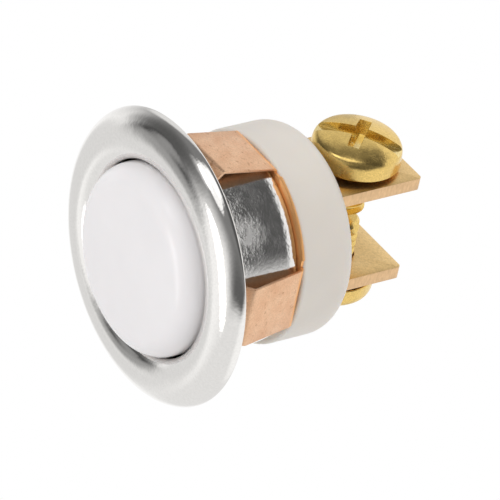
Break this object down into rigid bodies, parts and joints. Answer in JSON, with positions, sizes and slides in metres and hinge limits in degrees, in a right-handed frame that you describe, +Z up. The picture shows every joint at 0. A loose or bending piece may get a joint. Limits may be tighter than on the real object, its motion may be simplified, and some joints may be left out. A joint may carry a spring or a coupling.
{
  "type": "pushbutton switch",
  "caption": "Round recessed momentary pushbutton with a domed metal rim, raised white cap, spring clip for a wall hole, moulded rear body and screw terminals.",
  "frame": {"origin": "on the push axis, in the plane of the wall that the rim's back edge rests on", "axes": "+Y along the push axis, from the front cap into the wall; +Z up, along the upper terminal screw towards its head; +X across, to the right seen from the front"},
  "size_m": [0.021, 0.0214, 0.021],
  "materials": {
    "plated_shell": "polished",
    "copper_clip": "rolled strip, semi-bright",
    "nylon_body": "satin, slightly milky",
    "fibre_disc": "punched fibre board",
    "white_cap": "moulded, glossy",
    "spring_wire": "drawn wire",
    "bronze_bridge": "rolled strip",
    "steel_nut": "punched",
    "brass_blade": "dull rolled face, sheared edges",
    "brass_screw": "headed and turned, bright"
  },
  "bodies": {
    "housing": {"bezel_shell": "plated_shell", "spring_clip": "copper_clip", "terminal_body": "nylon_body", "guide_disc": "fibre_disc", "return_spring": "spring_wire", "upper_terminal": "brass_blade", "lower_terminal": "brass_blade"},
    "button": {"button_cap": "white_cap", "contact_bridge": "bronze_bridge", "push_nut": "steel_nut"},
    "upper_screw": {"upper_screw": "brass_screw"},
    "lower_screw": {"lower_screw": "brass_screw"}
  },
  "joints": [
    {"name": "button_press", "type": "slide", "parent": "housing", "child": "button", "axis": [0, 1, 0], "range_m": [0, 0.0015], "stiffness_N_per_m": 394, "springref_m": -0.002, "deforming": ["return_spring"]},
    {"name": "upper_screw_turn", "type": "hinge", "parent": "housing", "child": "upper_screw", "pos_m": [0.00035, 0.015, 0.00475], "axis": [0, 0, 1], "range_deg": [-250, 610]},
    {"name": "lower_screw_turn", "type": "hinge", "parent": "housing", "child": "lower_screw", "pos_m": [0.00035, 0.015, -0.00381], "axis": [0, 0, -1], "range_deg": [-220, 640]}
  ]
}
